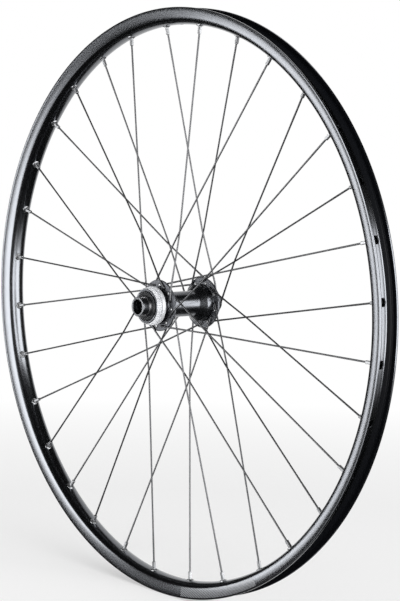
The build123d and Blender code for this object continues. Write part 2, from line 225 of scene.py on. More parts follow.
def cut(item, cutters, material):
    """Takes the cutters out of a piece, and gives the cut walls its material."""
    mesh = bpy.data.meshes.new("cutter")
    points, faces = [], []
    for p, f in cutters:
        faces += [tuple(len(points) + k for k in face) for face in f]
        points += p
    mesh.from_pydata([tuple(c * MM for c in p) for p in points], [], faces)
    work = bmesh.new()
    work.from_mesh(mesh)
    bmesh.ops.recalc_face_normals(work, faces=work.faces)
    work.to_mesh(mesh)
    work.free()
    mesh.materials.append(material)
    tool = bpy.data.objects.new("cutter", mesh)
    bpy.context.scene.collection.objects.link(tool)
    change = item.modifiers.new("cut", "BOOLEAN")
    change.operation = "DIFFERENCE"
    change.solver = "EXACT"
    change.object = tool
    graph = bpy.context.evaluated_depsgraph_get()
    result = bpy.data.meshes.new_from_object(item.evaluated_get(graph))
    item.modifiers.clear()
    item.data = result
    bpy.data.objects.remove(tool)


def drill(start, end, radius, sides=24, flare=0.0, flare_depth=0.0):
    """A round cutter, wider at its start by the flare."""
    along = (end - start).normalized()
    path = [start, end]
    radii = [radius, radius]
    if flare:
        path = [start, start + along * flare_depth, end]
        radii = [radius + flare, radius, radius]
    return swept(path, radii, sides)


# The spoke pattern

def rim_angle(index):
    return 90.0 - PITCH / 2 + PITCH * index


def outboard(index):
    return -1 if index % 2 == 0 else 1


def lean(index):
    return 1 if index % 4 < 2 else -1


def flange_station(index):
    return LEFT_FLANGE if outboard(index) < 0 else RIGHT_FLANGE


def spoke_corners(index):
    """The corners of the spoke's centre line, as the CAD wire has them."""
    station = flange_station(index)
    outward = outboard(index) * lean(index)
    angle = rim_angle(index)
    hole_angle = angle - lean(index) * LACING_ANGLE
    half_flange = FLANGE_THICKNESS / 2
    head = on_wheel(HOLE_CIRCLE, hole_angle, station - outward * (half_flange + 0.05))
    elbow = on_wheel(HOLE_CIRCLE, hole_angle, station + outward * (half_flange + WIRE_RADIUS + 0.1))
    pivot = on_wheel(BED_RADIUS + RIM_WALL / 2, angle, outboard(index) * STAGGER)
    run = Vector((pivot.x - elbow.x, 0, pivot.z - elbow.z))
    along = run.normalized()
    ray = on_wheel(1, angle - lean(index) * PITCH, 0)
    share = (elbow.z * ray.x - elbow.x * ray.z) / (run.x * ray.z - run.z * ray.x)
    crossing = elbow + run * share
    crossing.y = station + (pivot.y - station) * share - outward * (WIRE_RADIUS + 0.05)
    route = [head, elbow - Vector((0, outward * ELBOW_CUT, 0)), elbow + along * ELBOW_CUT]
    if lean(index) > 0:
        foot = -(elbow.x * along.x + elbow.z * along.z)
        nearest = math.hypot(elbow.x + along.x * foot, elbow.z + along.z * foot)
        route.append(elbow + along * (math.sqrt(FLANGE_RADIUS ** 2 - nearest ** 2) + foot + WIRE_RADIUS))
    return route + [crossing, pivot]


def soft_path(corners, radii, steps=5):
    """The corners' path with each inner corner bent to a radius."""
    path = [corners[0]]
    for i in range(1, len(corners) - 1):
        here = corners[i]
        before, after = corners[i - 1] - here, corners[i + 1] - here
        half = before.angle(after) / 2
        reach = min(radii[i - 1] / math.tan(half), before.length * 0.48, after.length * 0.48)
        start = here + before.normalized() * reach
        end = here + after.normalized() * reach
        for k in range(steps + 1):
            t = k / steps
            path.append(start * (1 - t) ** 2 + here * (2 * t * (1 - t)) + end * t ** 2)
    path.append(corners[-1])
    return path


# Materials

def new_material(name, colour, metallic, roughness):
    material = bpy.data.materials.new(name)
    material.use_nodes = True
    nodes = material.node_tree.nodes
    shader = nodes["Principled BSDF"]
    shader.inputs["Base Color"].default_value = (*colour, 1)
    shader.inputs["Metallic"].default_value = metallic
    shader.inputs["Roughness"].default_value = roughness
    return material, nodes, material.node_tree.links, shader


def math_node(nodes, links, operation, first, second=None, third=None):
    node = nodes.new("ShaderNodeMath")
    node.operation = operation
    for slot, value in enumerate((first, second, third)):
        if value is None:
            continue
        if isinstance(value, (int, float)):
            node.inputs[slot].default_value = value
        else:
            links.new(value, node.inputs[slot])
    return node.outputs[0]


def polar(nodes, links):
    """The radius from the axle, the angle round it in radians, and the station along it."""
    place = nodes.new("ShaderNodeTexCoord").outputs["Object"]
    parts = nodes.new("ShaderNodeSeparateXYZ")
    links.new(place, parts.inputs[0])
    x, y, z = parts.outputs
    squares = math_node(nodes, links, "ADD", math_node(nodes, links, "MULTIPLY", x, x),
                        math_node(nodes, links, "MULTIPLY", z, z))
    return place, math_node(nodes, links, "SQRT", squares), math_node(nodes, links, "ARCTAN2", z, x), y


def noise(nodes, links, place, scale, detail=3.0, rough=0.55):
    node = nodes.new("ShaderNodeTexNoise")
    node.inputs["Scale"].default_value = scale
    node.inputs["Detail"].default_value = detail
    node.inputs["Roughness"].default_value = rough
    links.new(place, node.inputs["Vector"])
    return node.outputs["Fac"]


def ramp(nodes, links, value, low, high, start=0.0, end=1.0):
    """A value mapped from one range to another, held at its ends."""
    node = nodes.new("ShaderNodeMapRange")
    node.clamp = True
    for slot, number in zip(("From Min", "From Max", "To Min", "To Max"), (start, end, low, high)):
        node.inputs[slot].default_value = number
    links.new(value, node.inputs["Value"])
    return node.outputs["Result"]


def blend_colour(nodes, links, share, first, second):
    node = nodes.new("ShaderNodeMix")
    node.data_type = "RGBA"
    links.new(share, node.inputs["Factor"])
    for slot, value in (("A", first), ("B", second)):
        target = [s for s in node.inputs if s.name == slot and s.type == "RGBA"][0]
        if isinstance(value, tuple):
            target.default_value = (*value, 1)
        else:
            links.new(value, target)
    return [s for s in node.outputs if s.type == "RGBA"][0]


def bump(nodes, links, shader, height, distance, strength=0.3):
    node = nodes.new("ShaderNodeBump")
    node.inputs["Strength"].default_value = strength
    node.inputs["Distance"].default_value = distance
    links.new(height, node.inputs["Height"])
    links.new(node.outputs["Normal"], shader.inputs["Normal"])


def turning_marks(nodes, links, radius, station, pitch):
    """Fine grooves that run round the axle, irregular in depth."""
    join = nodes.new("ShaderNodeCombineXYZ")
    links.new(radius, join.inputs[0])
    links.new(station, join.inputs[1])
    return noise(nodes, links, join.outputs[0], 1.0 / pitch, 2.0, 0.7)


def round_tangent(nodes, links, shader, amount):
    """Stretches the gloss across marks that run round the axle."""
    node = nodes.new("ShaderNodeTangent")
    node.direction_type = "RADIAL"
    node.axis = "Y"
    links.new(node.outputs[0], shader.inputs["Tangent"])
    shader.inputs["Anisotropic"].default_value = amount
    shader.inputs["Anisotropic Rotation"].default_value = 0.25


def rim_material():
    """The rim but for its side walls and inner flanks, which carry painted shade: glossy black anodising."""
    material, nodes, links, shader = new_material("rim_black_anodised", (0.14, 0.148, 0.165), 1.0, 0.2)
    place, radius, _, station = polar(nodes, links)
    marks = turning_marks(nodes, links, radius, station, MARK_PITCH)
    cloud = noise(nodes, links, place, 24.0, 4.0)
    share = ramp(nodes, links, cloud, 0, 1, 0.35, 0.65)
    tone = blend_colour(nodes, links, share, (0.145, 0.151, 0.163), (0.155, 0.161, 0.173))
    links.new(tone, shader.inputs["Base Color"])
    links.new(ramp(nodes, links, marks, 0.18, 0.22, 0.3, 0.7), shader.inputs["Roughness"])
    round_tangent(nodes, links, shader, 0.3)
    bump(nodes, links, shader, marks, 0.00001, 0.1)
    return material


def side_wall_material():
    """The side walls, turned before anodising, so that their gloss fans out across the marks."""
    material, nodes, links, shader = new_material("rim_turned_side", (0.16, 0.168, 0.185), 1.0, 0.34)
    place, radius, angle, station = polar(nodes, links)
    marks = turning_marks(nodes, links, radius, station, MARK_PITCH)
    cloud = noise(nodes, links, place, 24.0, 4.0)
    share = ramp(nodes, links, cloud, 0, 1, 0.35, 0.65)
    tone = blend_colour(nodes, links, share, (0.15, 0.156, 0.168), (0.16, 0.166, 0.178))
    # A band of fine diagonal hatching, low on the brake disc side's wall
    turn = math_node(nodes, links, "SUBTRACT", angle, math.radians(HATCH_ANGLE))
    off = math_node(nodes, links, "ABSOLUTE", turn)
    inside = math_node(nodes, links, "LESS_THAN", off, math.radians(HATCH_HALF_SPAN))
    above = math_node(nodes, links, "GREATER_THAN", radius, HATCH_INNER * MM)
    below = math_node(nodes, links, "LESS_THAN", radius, HATCH_OUTER * MM)
    side = math_node(nodes, links, "LESS_THAN", station, -HALF_INNER_WIDTH * MM)
    band = math_node(nodes, links, "MULTIPLY", math_node(nodes, links, "MULTIPLY", inside, above),
                     math_node(nodes, links, "MULTIPLY", below, side))
    arc = math_node(nodes, links, "MULTIPLY", angle, HATCH_RADIUS * MM)
    slope = math_node(nodes, links, "ADD", arc, radius)
    phase = math_node(nodes, links, "MULTIPLY", slope, 2 * math.pi / (HATCH_PITCH * MM))
    wave = math_node(nodes, links, "SINE", phase)
    stripe = ramp(nodes, links, wave, 0, 1, -0.15, 0.15)
    hatch = math_node(nodes, links, "MULTIPLY", stripe, band)
    colour = blend_colour(nodes, links, hatch, tone, (0.2, 0.205, 0.215))
    links.new(colour, shader.inputs["Base Color"])
    links.new(math_node(nodes, links, "SUBTRACT", 1.0, hatch), shader.inputs["Metallic"])
    links.new(ramp(nodes, links, marks, 0.17, 0.2, 0.3, 0.7), shader.inputs["Roughness"])
    round_tangent(nodes, links, shader, 0.25)
    bump(nodes, links, shader, marks, 0.00001, 0.1)
    return material


def hub_black_material():
    material, nodes, links, shader = new_material("hub_black_anodised", (0.14, 0.146, 0.16), 1.0, 0.34)
    place, radius, _, station = polar(nodes, links)
    marks = turning_marks(nodes, links, radius, station, 0.0003)
    grain = noise(nodes, links, place, 900.0, 3.0)
    share = ramp(nodes, links, grain, 0, 1, 0.3, 0.7)
    colour = blend_colour(nodes, links, share, (0.12, 0.125, 0.135), (0.13, 0.135, 0.145))
    links.new(colour, shader.inputs["Base Color"])
    links.new(ramp(nodes, links, grain, 0.25, 0.28, 0.3, 0.7), shader.inputs["Roughness"])
    round_tangent(nodes, links, shader, 0.2)
    bump(nodes, links, shader, marks, 0.000005, 0.1)
    return material


def bare_alloy_material(name, colour, roughness, pitch=0.00025, amount=0.5, metallic=1.0):
    """Bare or clear machined metal with turning marks."""
    material, nodes, links, shader = new_material(name, colour, metallic, roughness)
    _, radius, _, station = polar(nodes, links)
    marks = turning_marks(nodes, links, radius, station, pitch)
    dark = tuple(c * 0.86 for c in colour)
    share = ramp(nodes, links, marks, 0, 1, 0.3, 0.7)
    links.new(blend_colour(nodes, links, share, dark, colour), shader.inputs["Base Color"])
    gloss = ramp(nodes, links, marks, roughness - 0.05, roughness + 0.08, 0.3, 0.7)
    links.new(gloss, shader.inputs["Roughness"])
    round_tangent(nodes, links, shader, amount)
    bump(nodes, links, shader, marks, 0.000005, 0.1)
    return material


def grained_material(name, colour, metallic, roughness, scale, spread=0.06, depth=0.00001):
    """A finish with a fine random grain in its colour, gloss and surface."""
    material, nodes, links, shader = new_material(name, colour, metallic, roughness)
    place = nodes.new("ShaderNodeTexCoord").outputs["Object"]
    grain = noise(nodes, links, place, scale, 4.0, 0.6)
    dark = tuple(c * 0.82 for c in colour)
    share = ramp(nodes, links, grain, 0, 1, 0.3, 0.7)
    links.new(blend_colour(nodes, links, share, dark, colour), shader.inputs["Base Color"])
    gloss = ramp(nodes, links, grain, roughness - spread, roughness + spread, 0.3, 0.7)
    links.new(gloss, shader.inputs["Roughness"])
    bump(nodes, links, shader, grain, depth, 0.25)
    return material


rim_finish = rim_material()
side_finish = side_wall_material()
hub_finish = hub_black_material()
flange_finish = grained_material("hub_flange_satin", (0.145, 0.15, 0.162), 1.0, 0.48, 900.0, 0.04, 0.000005)
# Painted highlight: the spoke heads are the same steel as the wire, coloured lighter to stand in for the
# glint on each head.
head_highlight_finish = grained_material("spoke_head_painted_highlight", (0.42, 0.425, 0.435), 1.0, 0.45, 700.0)
# Painted shade: the tyre channel's walls, from the well's slopes up the inner faces of the hooks, get a
# near-black, barely reflective finish that stands in for the shade between the hooks.
flank_painted_shade = grained_material("rim_inner_flank_painted_shade", (0.004, 0.0045, 0.006), 0.0, 0.4, 800.0)
flank_painted_shade.node_tree.nodes["Principled BSDF"].inputs["Specular IOR Level"].default_value = 0.15
spline_finish = bare_alloy_material("hub_bare_alloy", (0.64, 0.65, 0.67), 0.5, amount=0.2, metallic=0.5)
locknut_finish = bare_alloy_material("locknut_alloy", (0.11, 0.114, 0.122), 0.3)
locknut_face_finish = bare_alloy_material("locknut_bare_face", (0.2, 0.205, 0.215), 0.4, amount=0.3)
tube_finish = bare_alloy_material("axle_alloy", (0.17, 0.175, 0.18), 0.32)
steel_finish = bare_alloy_material("bearing_steel", (0.3, 0.3, 0.31), 0.35)
wire_finish = grained_material("spoke_stainless", (0.135, 0.137, 0.142), 1.0, 0.45, 700.0, 0.03, 0.000002)
nipple_finish = grained_material("nipple_nickel", (0.34, 0.345, 0.355), 1.0, 0.42, 1200.0)
eyelet_finish = grained_material("eyelet_plated", (0.34, 0.345, 0.355), 1.0, 0.4, 1500.0)
seal_finish = grained_material("seal_rubber", (0.008, 0.009, 0.011), 0.0, 0.34, 1800.0, 0.05, 0.00001)


# Rim

def rim_outline():
    """The rim's section: two hooked flanges, a well between them, and a bed curved up to the side walls."""
    inner, wide, nose = HALF_INNER_WIDTH, RIM_HALF_WIDTH, HALF_INNER_WIDTH - HOOK_DEPTH
    half = [
        (0.0, WELL_RADIUS), (4.6, WELL_RADIUS, 1.8), (inner - 2.6, SEAT_RADIUS - 0.3, 1.2),
        (inner, SEAT_RADIUS, 0.5), (inner, 313.9, 0.5), (nose, 314.8, 0.3), (nose, RIM_RADIUS, 0.5),
        (wide, RIM_RADIUS, 0.5),
    ]
    # The side wall is nearly square to the axle at the lip, and leans in more and more towards its foot.
    half += [
        (wide, 314.8), (wide - 0.04, 313.7), (wide - 0.13, 312.5), (wide - 0.29, 311.2), (wide - 0.48, 309.8),
        (wide - 0.70, 308.4), (wide - 0.95, 307.0), (wide - 1.25, 305.6), (wide - 1.62, SIDE_FOOT),
    ]
    for degrees in range(48, 0, -4):
        a = math.radians(degrees)
        half.append((BED_CURVE * math.sin(a), BED_RADIUS + BED_CURVE * (1 - math.cos(a))))
    half.append((0.0, BED_RADIUS))
    other = [(-c[0], *c[1:]) for c in reversed(half[1:-1])]
    return rounded(half + other, steps=4)


def cavity_outline():
    half = [(0.0, 306.1), (5.4, 306.0, 0.4), (8.3, 308.6, 0.6), (9.9, 309.3, 0.4),
            (9.7, 305.0, 0.8), (7.2, 302.0, 1.5), (4.0, 300.6, 2.0), (0.0, 300.0)]
    other = [(-c[0], *c[1:]) for c in reversed(half[1:-1])]
    return rounded(half + other, steps=2)


def make_rim():
    outside = rim_outline()
    points, faces = ring_mesh(outside, RIM_STEPS)
    inside, more = ring_mesh(cavity_outline(), RIM_STEPS, len(points))
    item = new_object("rim_dressed", points, faces, rim_finish)
    hollow = new_object("rim_hollow", inside, [tuple(k - len(points) for k in f) for f in more], rim_finish)
    hollow.data.flip_normals()
    work = bmesh.new()
    work.from_mesh(item.data)
    work.from_mesh(hollow.data)
    work.to_mesh(item.data)
    work.free()
    bpy.data.objects.remove(hollow)
    cutters = []
    for index in range(SPOKES):
        angle, y = rim_angle(index), outboard(index) * STAGGER
        cutters.append(drill(on_wheel(BED_RADIUS - 2, angle, y), on_wheel(BED_RADIUS + 2.6, angle, y),
                             NIPPLE_HOLE_RADIUS))
        cutters.append(drill(on_wheel(WELL_RADIUS + 2, angle, 0), on_wheel(WELL_RADIUS - 3, angle, 0),
                             ACCESS_HOLE_RADIUS, 32))
    cutters.append(drill(on_wheel(BED_RADIUS - 2, VALVE_ANGLE, 0), on_wheel(WELL_RADIUS + 2, VALVE_ANGLE, 0),
                         VALVE_HOLE_RADIUS, 32))
    cut(item, cutters, rim_finish)
    item.data.materials.append(side_finish)
    side = len(item.data.materials) - 1
    item.data.materials.append(flank_painted_shade)
    for face in item.data.polygons:
        radius = math.hypot(face.center.x, face.center.z) / MM
        aside = abs(face.center.y) / MM
        # Painted shade: the channel's upper slopes, seats and inner hook walls take the near-black finish.
        if 5.2 < aside < HALF_INNER_WIDTH + 0.1 and WELL_RADIUS + 0.6 < radius < RIM_RADIUS - 0.2:
            face.material_index = side + 1
        if aside > 10.7 and SIDE_FOOT - 1.0 < radius < RIM_RADIUS - 0.4:
            face.material_index = side
    smooth(item, 30)
    return item


def make_eyelets():
    outline = rounded([
        (-1.2, NIPPLE_HOLE_RADIUS), (-1.2, EYELET_RADIUS), (0.1, EYELET_RADIUS, 0.25),
        (0.8, 2.95, 0.25), (0.8, NIPPLE_HOLE_RADIUS, 0.25),
    ], steps=3)
    points, faces = [], []
    steps = 28
    for index in range(SPOKES):
        angle = rim_angle(index)
        seat = on_wheel(BED_RADIUS - 0.03, angle, outboard(index) * STAGGER)
        inward = on_wheel(-1, angle, 0)
        side = Vector((0, 1, 0))
        other = inward.cross(side)
        base, count = len(points), len(outline)
        for i in range(steps):
            a = 2 * math.pi * i / steps
            ray = side * math.cos(a) + other * math.sin(a)
            points += [seat + inward * h + ray * r for h, r in outline]
        for i in range(steps):
            j = (i + 1) % steps
            for k in range(count):
                n = (k + 1) % count
                faces.append((base + i * count + k, base + i * count + n,
                              base + j * count + n, base + j * count + k))
    return new_object("eyelets_dressed", points, faces, eyelet_finish)


def nipple_radius(station, angle):
    """A nipple's radius at a height along it, counted from its pivot towards its head."""
    foot = -RIM_WALL / 2 - NIPPLE_STAND_OUT
    if station < foot + 0.35:
        round_radius = 1.55 + (station - foot) / 0.35 * 0.35
    elif station < 0.7:
        round_radius = NIPPLE_RADIUS
    elif station < 1.7:
        round_radius = NIPPLE_RADIUS + (station - 0.7)
    else:
        round_radius = 3.0
    if station > -1.6:
        return round_radius
    c, s = abs(math.cos(angle)), abs(math.sin(angle))
    return min(round_radius, NIPPLE_FLATS / 2 / max(c, s))


def make_nipples():
    foot = -RIM_WALL / 2 - NIPPLE_STAND_OUT
    stations = [foot, foot + 0.15, foot + 0.35, foot + 1.0, -5.5, -3.0, -1.61, -1.59, -0.4]
    stations += [0.7, 1.2, 1.7, 3.0, NIPPLE_TOP]
    steps = 32
    points, faces = [], []
    for index in range(SPOKES):
        crossing, pivot = spoke_corners(index)[-2:]
        along = (pivot - crossing).normalized()
        side = Vector((0, 1, 0))
        side = (side - along * side.dot(along)).normalized()
        other = along.cross(side)
        base = len(points)
        rows = [(foot + 0.9, NIPPLE_BORE), (foot, NIPPLE_BORE)] + [(s, None) for s in stations]
        rows.append((NIPPLE_TOP, 0.6))
        for station, radius in rows:
            for k in range(steps):
                a = 2 * math.pi * k / steps
                r = radius if radius else nipple_radius(station, a)
                if station == NIPPLE_TOP and not radius:
                    r = 2.6
                points.append(pivot + along * station + (side * math.cos(a) + other * math.sin(a)) * r)
        for i in range(len(rows) - 1):
            for k in range(steps):
                n = (k + 1) % steps
                faces.append((base + i * steps + k, base + i * steps + n,
                              base + (i + 1) * steps + n, base + (i + 1) * steps + k))
        faces.append(tuple(base + k for k in range(steps)))
        last = base + (len(rows) - 1) * steps
        faces.append(tuple(last + k for k in range(steps)))
    return new_object("nipples_dressed", points, faces, nipple_finish, 30)


def make_spoke(index):
    corners = spoke_corners(index)
    bends = [1.6, 1.6] + ([18.0] if lean(index) > 0 else []) + [60.0]
    path = soft_path(corners, bends)
    head_way = (corners[1] - corners[0]).normalized()
    head = [(-HEAD_THICKNESS, 0.7), (-HEAD_THICKNESS + 0.12, 1.45), (-HEAD_THICKNESS + 0.4, 1.9),
            (-HEAD_THICKNESS * 0.45, HEAD_RADIUS), (-0.2, 1.85), (-0.02, 1.4), (0.15, WIRE_RADIUS)]
    full = [corners[0] + head_way * s for s, r in head]
    radii = [r for s, r in head]
    rest = path[1:]
    lengths = [0.0]
    for a, b in zip(rest, rest[1:]):
        lengths.append(lengths[-1] + (b - a).length)
    total = lengths[-1]
    # The long runs get more points, so that the thinner middle starts and ends smoothly.
    dense, dense_radii = [], []
    for i in range(len(rest) - 1):
        span = lengths[i + 1] - lengths[i]
        parts = max(1, int(span / 12.0))
        for k in range(parts):
            s = lengths[i] + span * k / parts
            near_end = min(s - THIN_FROM_ELBOW, total - THIN_FROM_NIPPLE - s)
            share = min(1.0, max(0.0, near_end / THIN_BLEND))
            dense.append(rest[i].lerp(rest[i + 1], k / parts))
            dense_radii.append(WIRE_RADIUS + (WIRE_MIDDLE_RADIUS - WIRE_RADIUS) * share)
    dense.append(rest[-1])
    dense_radii.append(WIRE_RADIUS)
    points, faces = swept(full + dense, radii + dense_radii, 14)
    item = new_object(f"wire_{index + 1:02d}", points, faces, wire_finish, 50)
    item.data.materials.append(head_highlight_finish)
    # Painted highlight: the head's faces take the lighter finish.
    for face in item.data.polygons:
        if max(face.vertices) < 14 * len(full):
            face.material_index = 1
    return item


# Hub

def hub_outline():
    lf, rf, h = LEFT_FLANGE, RIGHT_FLANGE, FLANGE_THICKNESS / 2
    left_face, right_face = lf - h, rf - h
    chamfer = FLANGE_CHAMFER
    edge = FLANGE_RADIUS - chamfer
    shoulder_end = SPLINE_END + SHOULDER_WIDTH
    bell_foot, bell_top = right_face - 15.0, right_face - 7.6
    return rounded([
        (LEFT_END, 16.2, 0.1), (LEFT_END, 18.2, 0.2), (SPLINE_START, SHELL_RADIUS),
        (SPLINE_END, SHELL_RADIUS), (SPLINE_END, SHOULDER_RADIUS, 0.3),
        (shoulder_end, SHOULDER_RADIUS, 0.3), (shoulder_end, SHELL_RADIUS, 0.3),
        (left_face, SHELL_RADIUS, 0.8), (left_face, edge, 0.15), (left_face + chamfer, FLANGE_RADIUS, 0.15),
        (lf + h - chamfer, FLANGE_RADIUS, 0.15), (lf + h, edge, 0.15), (lf + h, COLLAR_RADIUS, 1.0),
        (lf + h + 9.0, BARREL_RADIUS, 6.0), (bell_foot, BARREL_RADIUS, 4.0),
        (bell_top, COLLAR_RADIUS - 0.2, 1.6), (right_face, COLLAR_RADIUS, 0.4),
        (right_face, edge, 0.15), (right_face + chamfer, FLANGE_RADIUS, 0.15),
        (rf + h - chamfer, FLANGE_RADIUS, 0.15), (rf + h, edge, 0.15), (rf + h, SHELL_RADIUS, 0.8),
        (RIGHT_END - 0.6, SHELL_RADIUS, 0.3), (RIGHT_END, 17.9, 0.3), (RIGHT_END, BEARING_SEAT, 0.1),
        (RIGHT_BALLS - SEAT_REACH, BEARING_SEAT), (RIGHT_BALLS - SEAT_REACH, CORE_RADIUS),
        (LEFT_BALLS + SEAT_REACH, CORE_RADIUS), (LEFT_BALLS + SEAT_REACH, BEARING_SEAT),
        (LEFT_END + 4.2, BEARING_SEAT), (LEFT_END + 4.2, 16.2),
    ], steps=4)


def make_hub():
    points, faces = ring_mesh(hub_outline(), 160)
    item = new_object("hub_dressed", points, faces, hub_finish, 30)
    item.data.materials.append(spline_finish)
    item.data.materials.append(flange_finish)
    cutters = []
    for index in range(SPOKES):
        angle = rim_angle(index) - lean(index) * LACING_ANGLE
        station = flange_station(index)
        for side in (-1, 1):
            face = station + side * FLANGE_THICKNESS / 2
            cutters.append(drill(on_wheel(HOLE_CIRCLE, angle, face + side * 0.3),
                                 on_wheel(HOLE_CIRCLE, angle, station - side * 0.2),
                                 SPOKE_HOLE_RADIUS, 20, COUNTERSINK, COUNTERSINK_DEPTH))
    cut(item, cutters, hub_finish)
    for face in item.data.polygons:
        radius = math.hypot(face.center.x, face.center.z) / MM
        on_spline = SPLINE_START - 0.05 < face.center.y / MM < SPLINE_END + SHOULDER_WIDTH + 0.05
        if on_spline and radius > 16.15:
            face.material_index = 1
        elif radius > SHOULDER_RADIUS + 0.2:
            face.material_index = 2
    smooth(item, 30)
    return item


def make_spline():
    """The fine teeth round the brake disc's end of the hub."""
    outline = []
    step = 2 * math.pi / SPLINE_TEETH
    for tooth in range(SPLINE_TEETH):
        a = tooth * step
        for share, radius in ((-0.30, SPLINE_ROOT), (-0.20, SPLINE_ROOT + 0.2), (-0.13, SPLINE_TIP - 0.12),
                              (-0.08, SPLINE_TIP), (0.08, SPLINE_TIP), (0.13, SPLINE_TIP - 0.12),
                              (0.20, SPLINE_ROOT + 0.2), (0.30, SPLINE_ROOT)):
            outline.append((a + share * step, radius))
    rows = [(SPLINE_START, -0.55), (SPLINE_START + 0.35, -0.1), (SPLINE_START + 0.6, 0.0)]
    rows.append((SPLINE_END + 0.02, 0.0))
    points, faces = [], []
    count = len(outline)
    for y, change in rows:
        points += [((r + change) * math.cos(a), y, (r + change) * math.sin(a)) for a, r in outline]
    for y in (SPLINE_END + 0.02, SPLINE_START):
        points += [(17.6 * math.cos(a), y, 17.6 * math.sin(a)) for a, r in outline]
    order = [0, 1, 2, 3, 4, 5, 0]
    for first, second in zip(order, order[1:]):
        for k in range(count):
            n = (k + 1) % count
            faces.append((first * count + k, first * count + n, second * count + n, second * count + k))
    return new_object("spline_dressed", points, faces, spline_finish, 25)


def make_seal(name, balls, end):
    inward = 1 if balls < 0 else -1
    face = end - inward * 0.5
    seat = balls - inward * 4.95
    groove, lip = face + inward * 0.35, face + inward * 0.5
    step = seat - inward * 1.0
    outline = [
        (seat, SEAL_BORE), (seat, SEAL_RADIUS), (step, SEAL_RADIUS), (step, 15.1, 0.2),
        (face, 15.1, 0.5), (face, 14.2, 0.3), (groove, 13.9, 0.2), (groove, 13.5, 0.2),
        (face, 13.2, 0.3), (face, 12.5, 0.3), (lip, 12.0, 0.25), (lip, 11.5, 0.25),
        (face, 11.1, 0.2), (face, SEAL_BORE, 0.2),
    ]
    return turned(name, rounded(outline, steps=3), seal_finish, 120)


def make_locknut(name, side):
    e = HALF_WIDTH
    outline = [(e, 8.15), (e, 10.0, 0.25), (e - 0.4, 10.4, 0.25), (e - 2.4, 10.4, 0.4), (e - 2.4, 9.3, 0.35),
               (e - 8.5, 9.3, 0.1), (e - 8.5, 8.55), (e - 4.5, 8.55), (e - 4.5, 7.75), (e - 0.4, 7.75, 0.2)]
    item = turned(name, rounded([(side * y, *rest) for y, *rest in outline], steps=3), locknut_finish, 120)
    item.data.materials.append(locknut_face_finish)
    for face in item.data.polygons:
        if abs(face.center.y) / MM > e - 0.45:
            face.material_index = 1
    return item


def make_cone(name, balls):
    inward = 1 if balls < 0 else -1

    def at(depth):
        return balls + inward * depth

    outline = [(at(2.6), 8.55), (at(2.6), 9.72, 0.2), (at(-0.944), 9.72), (at(-3.224), 12.0, 0.2),
               (at(-4.224), 12.0, 0.2), (at(-4.224), 10.4), (at(abs(balls) - HALF_WIDTH + 8.5), 10.4, 0.3),
               (at(abs(balls) - HALF_WIDTH + 8.5), 8.55)]
    return turned(name, rounded(outline, steps=3), steel_finish, 96)


rim = make_rim()
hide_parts("rim")
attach(rim, "wheel")

eyelets = make_eyelets()
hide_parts("eyelets")
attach(eyelets, "wheel")

nipples = make_nipples()
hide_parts("nipples")
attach(nipples, "wheel")

for number in range(SPOKES):
    wire = make_spoke(number)
    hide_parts(f"spoke_{number + 1:02d}")
    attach(wire, "wheel")

hub = make_hub()
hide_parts("hub_shell")
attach(hub, "wheel")
spline = make_spline()
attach(spline, "wheel")

for side_name, side, balls, end in (("left", -1, LEFT_BALLS, LEFT_END), ("right", 1, RIGHT_BALLS, RIGHT_END)):
    seal = make_seal(f"{side_name}_seal_dressed", balls, end)
    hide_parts(f"{side_name}_dust_seal")
    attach(seal, "wheel")
    nut = make_locknut(f"{side_name}_locknut_dressed", side)
    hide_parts(f"{side_name}_locknut")
    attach(nut, "axle")
    cone = make_cone(f"{side_name}_cone_dressed", balls)
    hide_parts(f"{side_name}_cone")
    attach(cone, "axle")

kept = {"axle_tube": tube_finish, "left_bearing_cup": steel_finish, "right_bearing_cup": steel_finish,
        "left_balls": steel_finish, "right_balls": steel_finish}
finishes = {"rim": rim_finish, "eyelets": eyelet_finish, "nipples": nipple_finish,
            "hub_shell": hub_finish, **kept}
for side_name in ("left", "right"):
    finishes[f"{side_name}_dust_seal"] = seal_finish
    finishes[f"{side_name}_cone"] = steel_finish
    finishes[f"{side_name}_locknut"] = locknut_finish
for name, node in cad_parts.items():
    finish = finishes.get(name, wire_finish)
    node.data.materials.clear()
    node.data.materials.append(finish)


# Stage

def background_share(nodes, links):
    """1 for rays that see the background directly or in metal or glass."""
    path = nodes.new("ShaderNodeLightPath")
    first = math_node(nodes, links, "MAXIMUM", path.outputs["Is Camera Ray"], path.outputs["Is Glossy Ray"])
    return math_node(nodes, links, "MAXIMUM", first, path.outputs["Is Transmission Ray"])


FLOOR_Z = -RIM_RADIUS * MM - 0.0004
FLOOR_REACH = 9.0
floor_mesh = bpy.data.meshes.new("floor")
floor_corners = [(x * FLOOR_REACH, y * FLOOR_REACH, FLOOR_Z) for x, y in ((-1, -1), (1, -1), (1, 1), (-1, 1))]
floor_mesh.from_pydata(floor_corners, [], [(0, 1, 2, 3)])
floor = bpy.data.objects.new("floor", floor_mesh)
bpy.context.scene.collection.objects.link(floor)
floor_look = bpy.data.materials.new("floor_pale")
floor_look.use_nodes = True
nodes, links = floor_look.node_tree.nodes, floor_look.node_tree.links
nodes.clear()
output = nodes.new("ShaderNodeOutputMaterial")
matte = nodes.new("ShaderNodeBsdfDiffuse")
matte.inputs["Color"].default_value = (0.9, 0.9, 0.9, 1)
glow = nodes.new("ShaderNodeEmission")
glow.inputs["Color"].default_value = (1, 1, 1, 1)
glow.inputs["Strength"].default_value = 1.0
mix = nodes.new("ShaderNodeMixShader")
reach = nodes.new("ShaderNodeVectorMath")
reach.operation = "LENGTH"
links.new(nodes.new("ShaderNodeTexCoord").outputs["Object"], reach.inputs[0])
fade = ramp(nodes, links, reach.outputs["Value"], 0.5, 1.0, 0.65, 1.4)
links.new(math_node(nodes, links, "MULTIPLY", background_share(nodes, links), fade), mix.inputs[0])
links.new(matte.outputs[0], mix.inputs[1])
links.new(glow.outputs[0], mix.inputs[2])
links.new(mix.outputs[0], output.inputs[0])
floor_mesh.materials.append(floor_look)
floor.visible_glossy = False
floor.visible_shadow = False

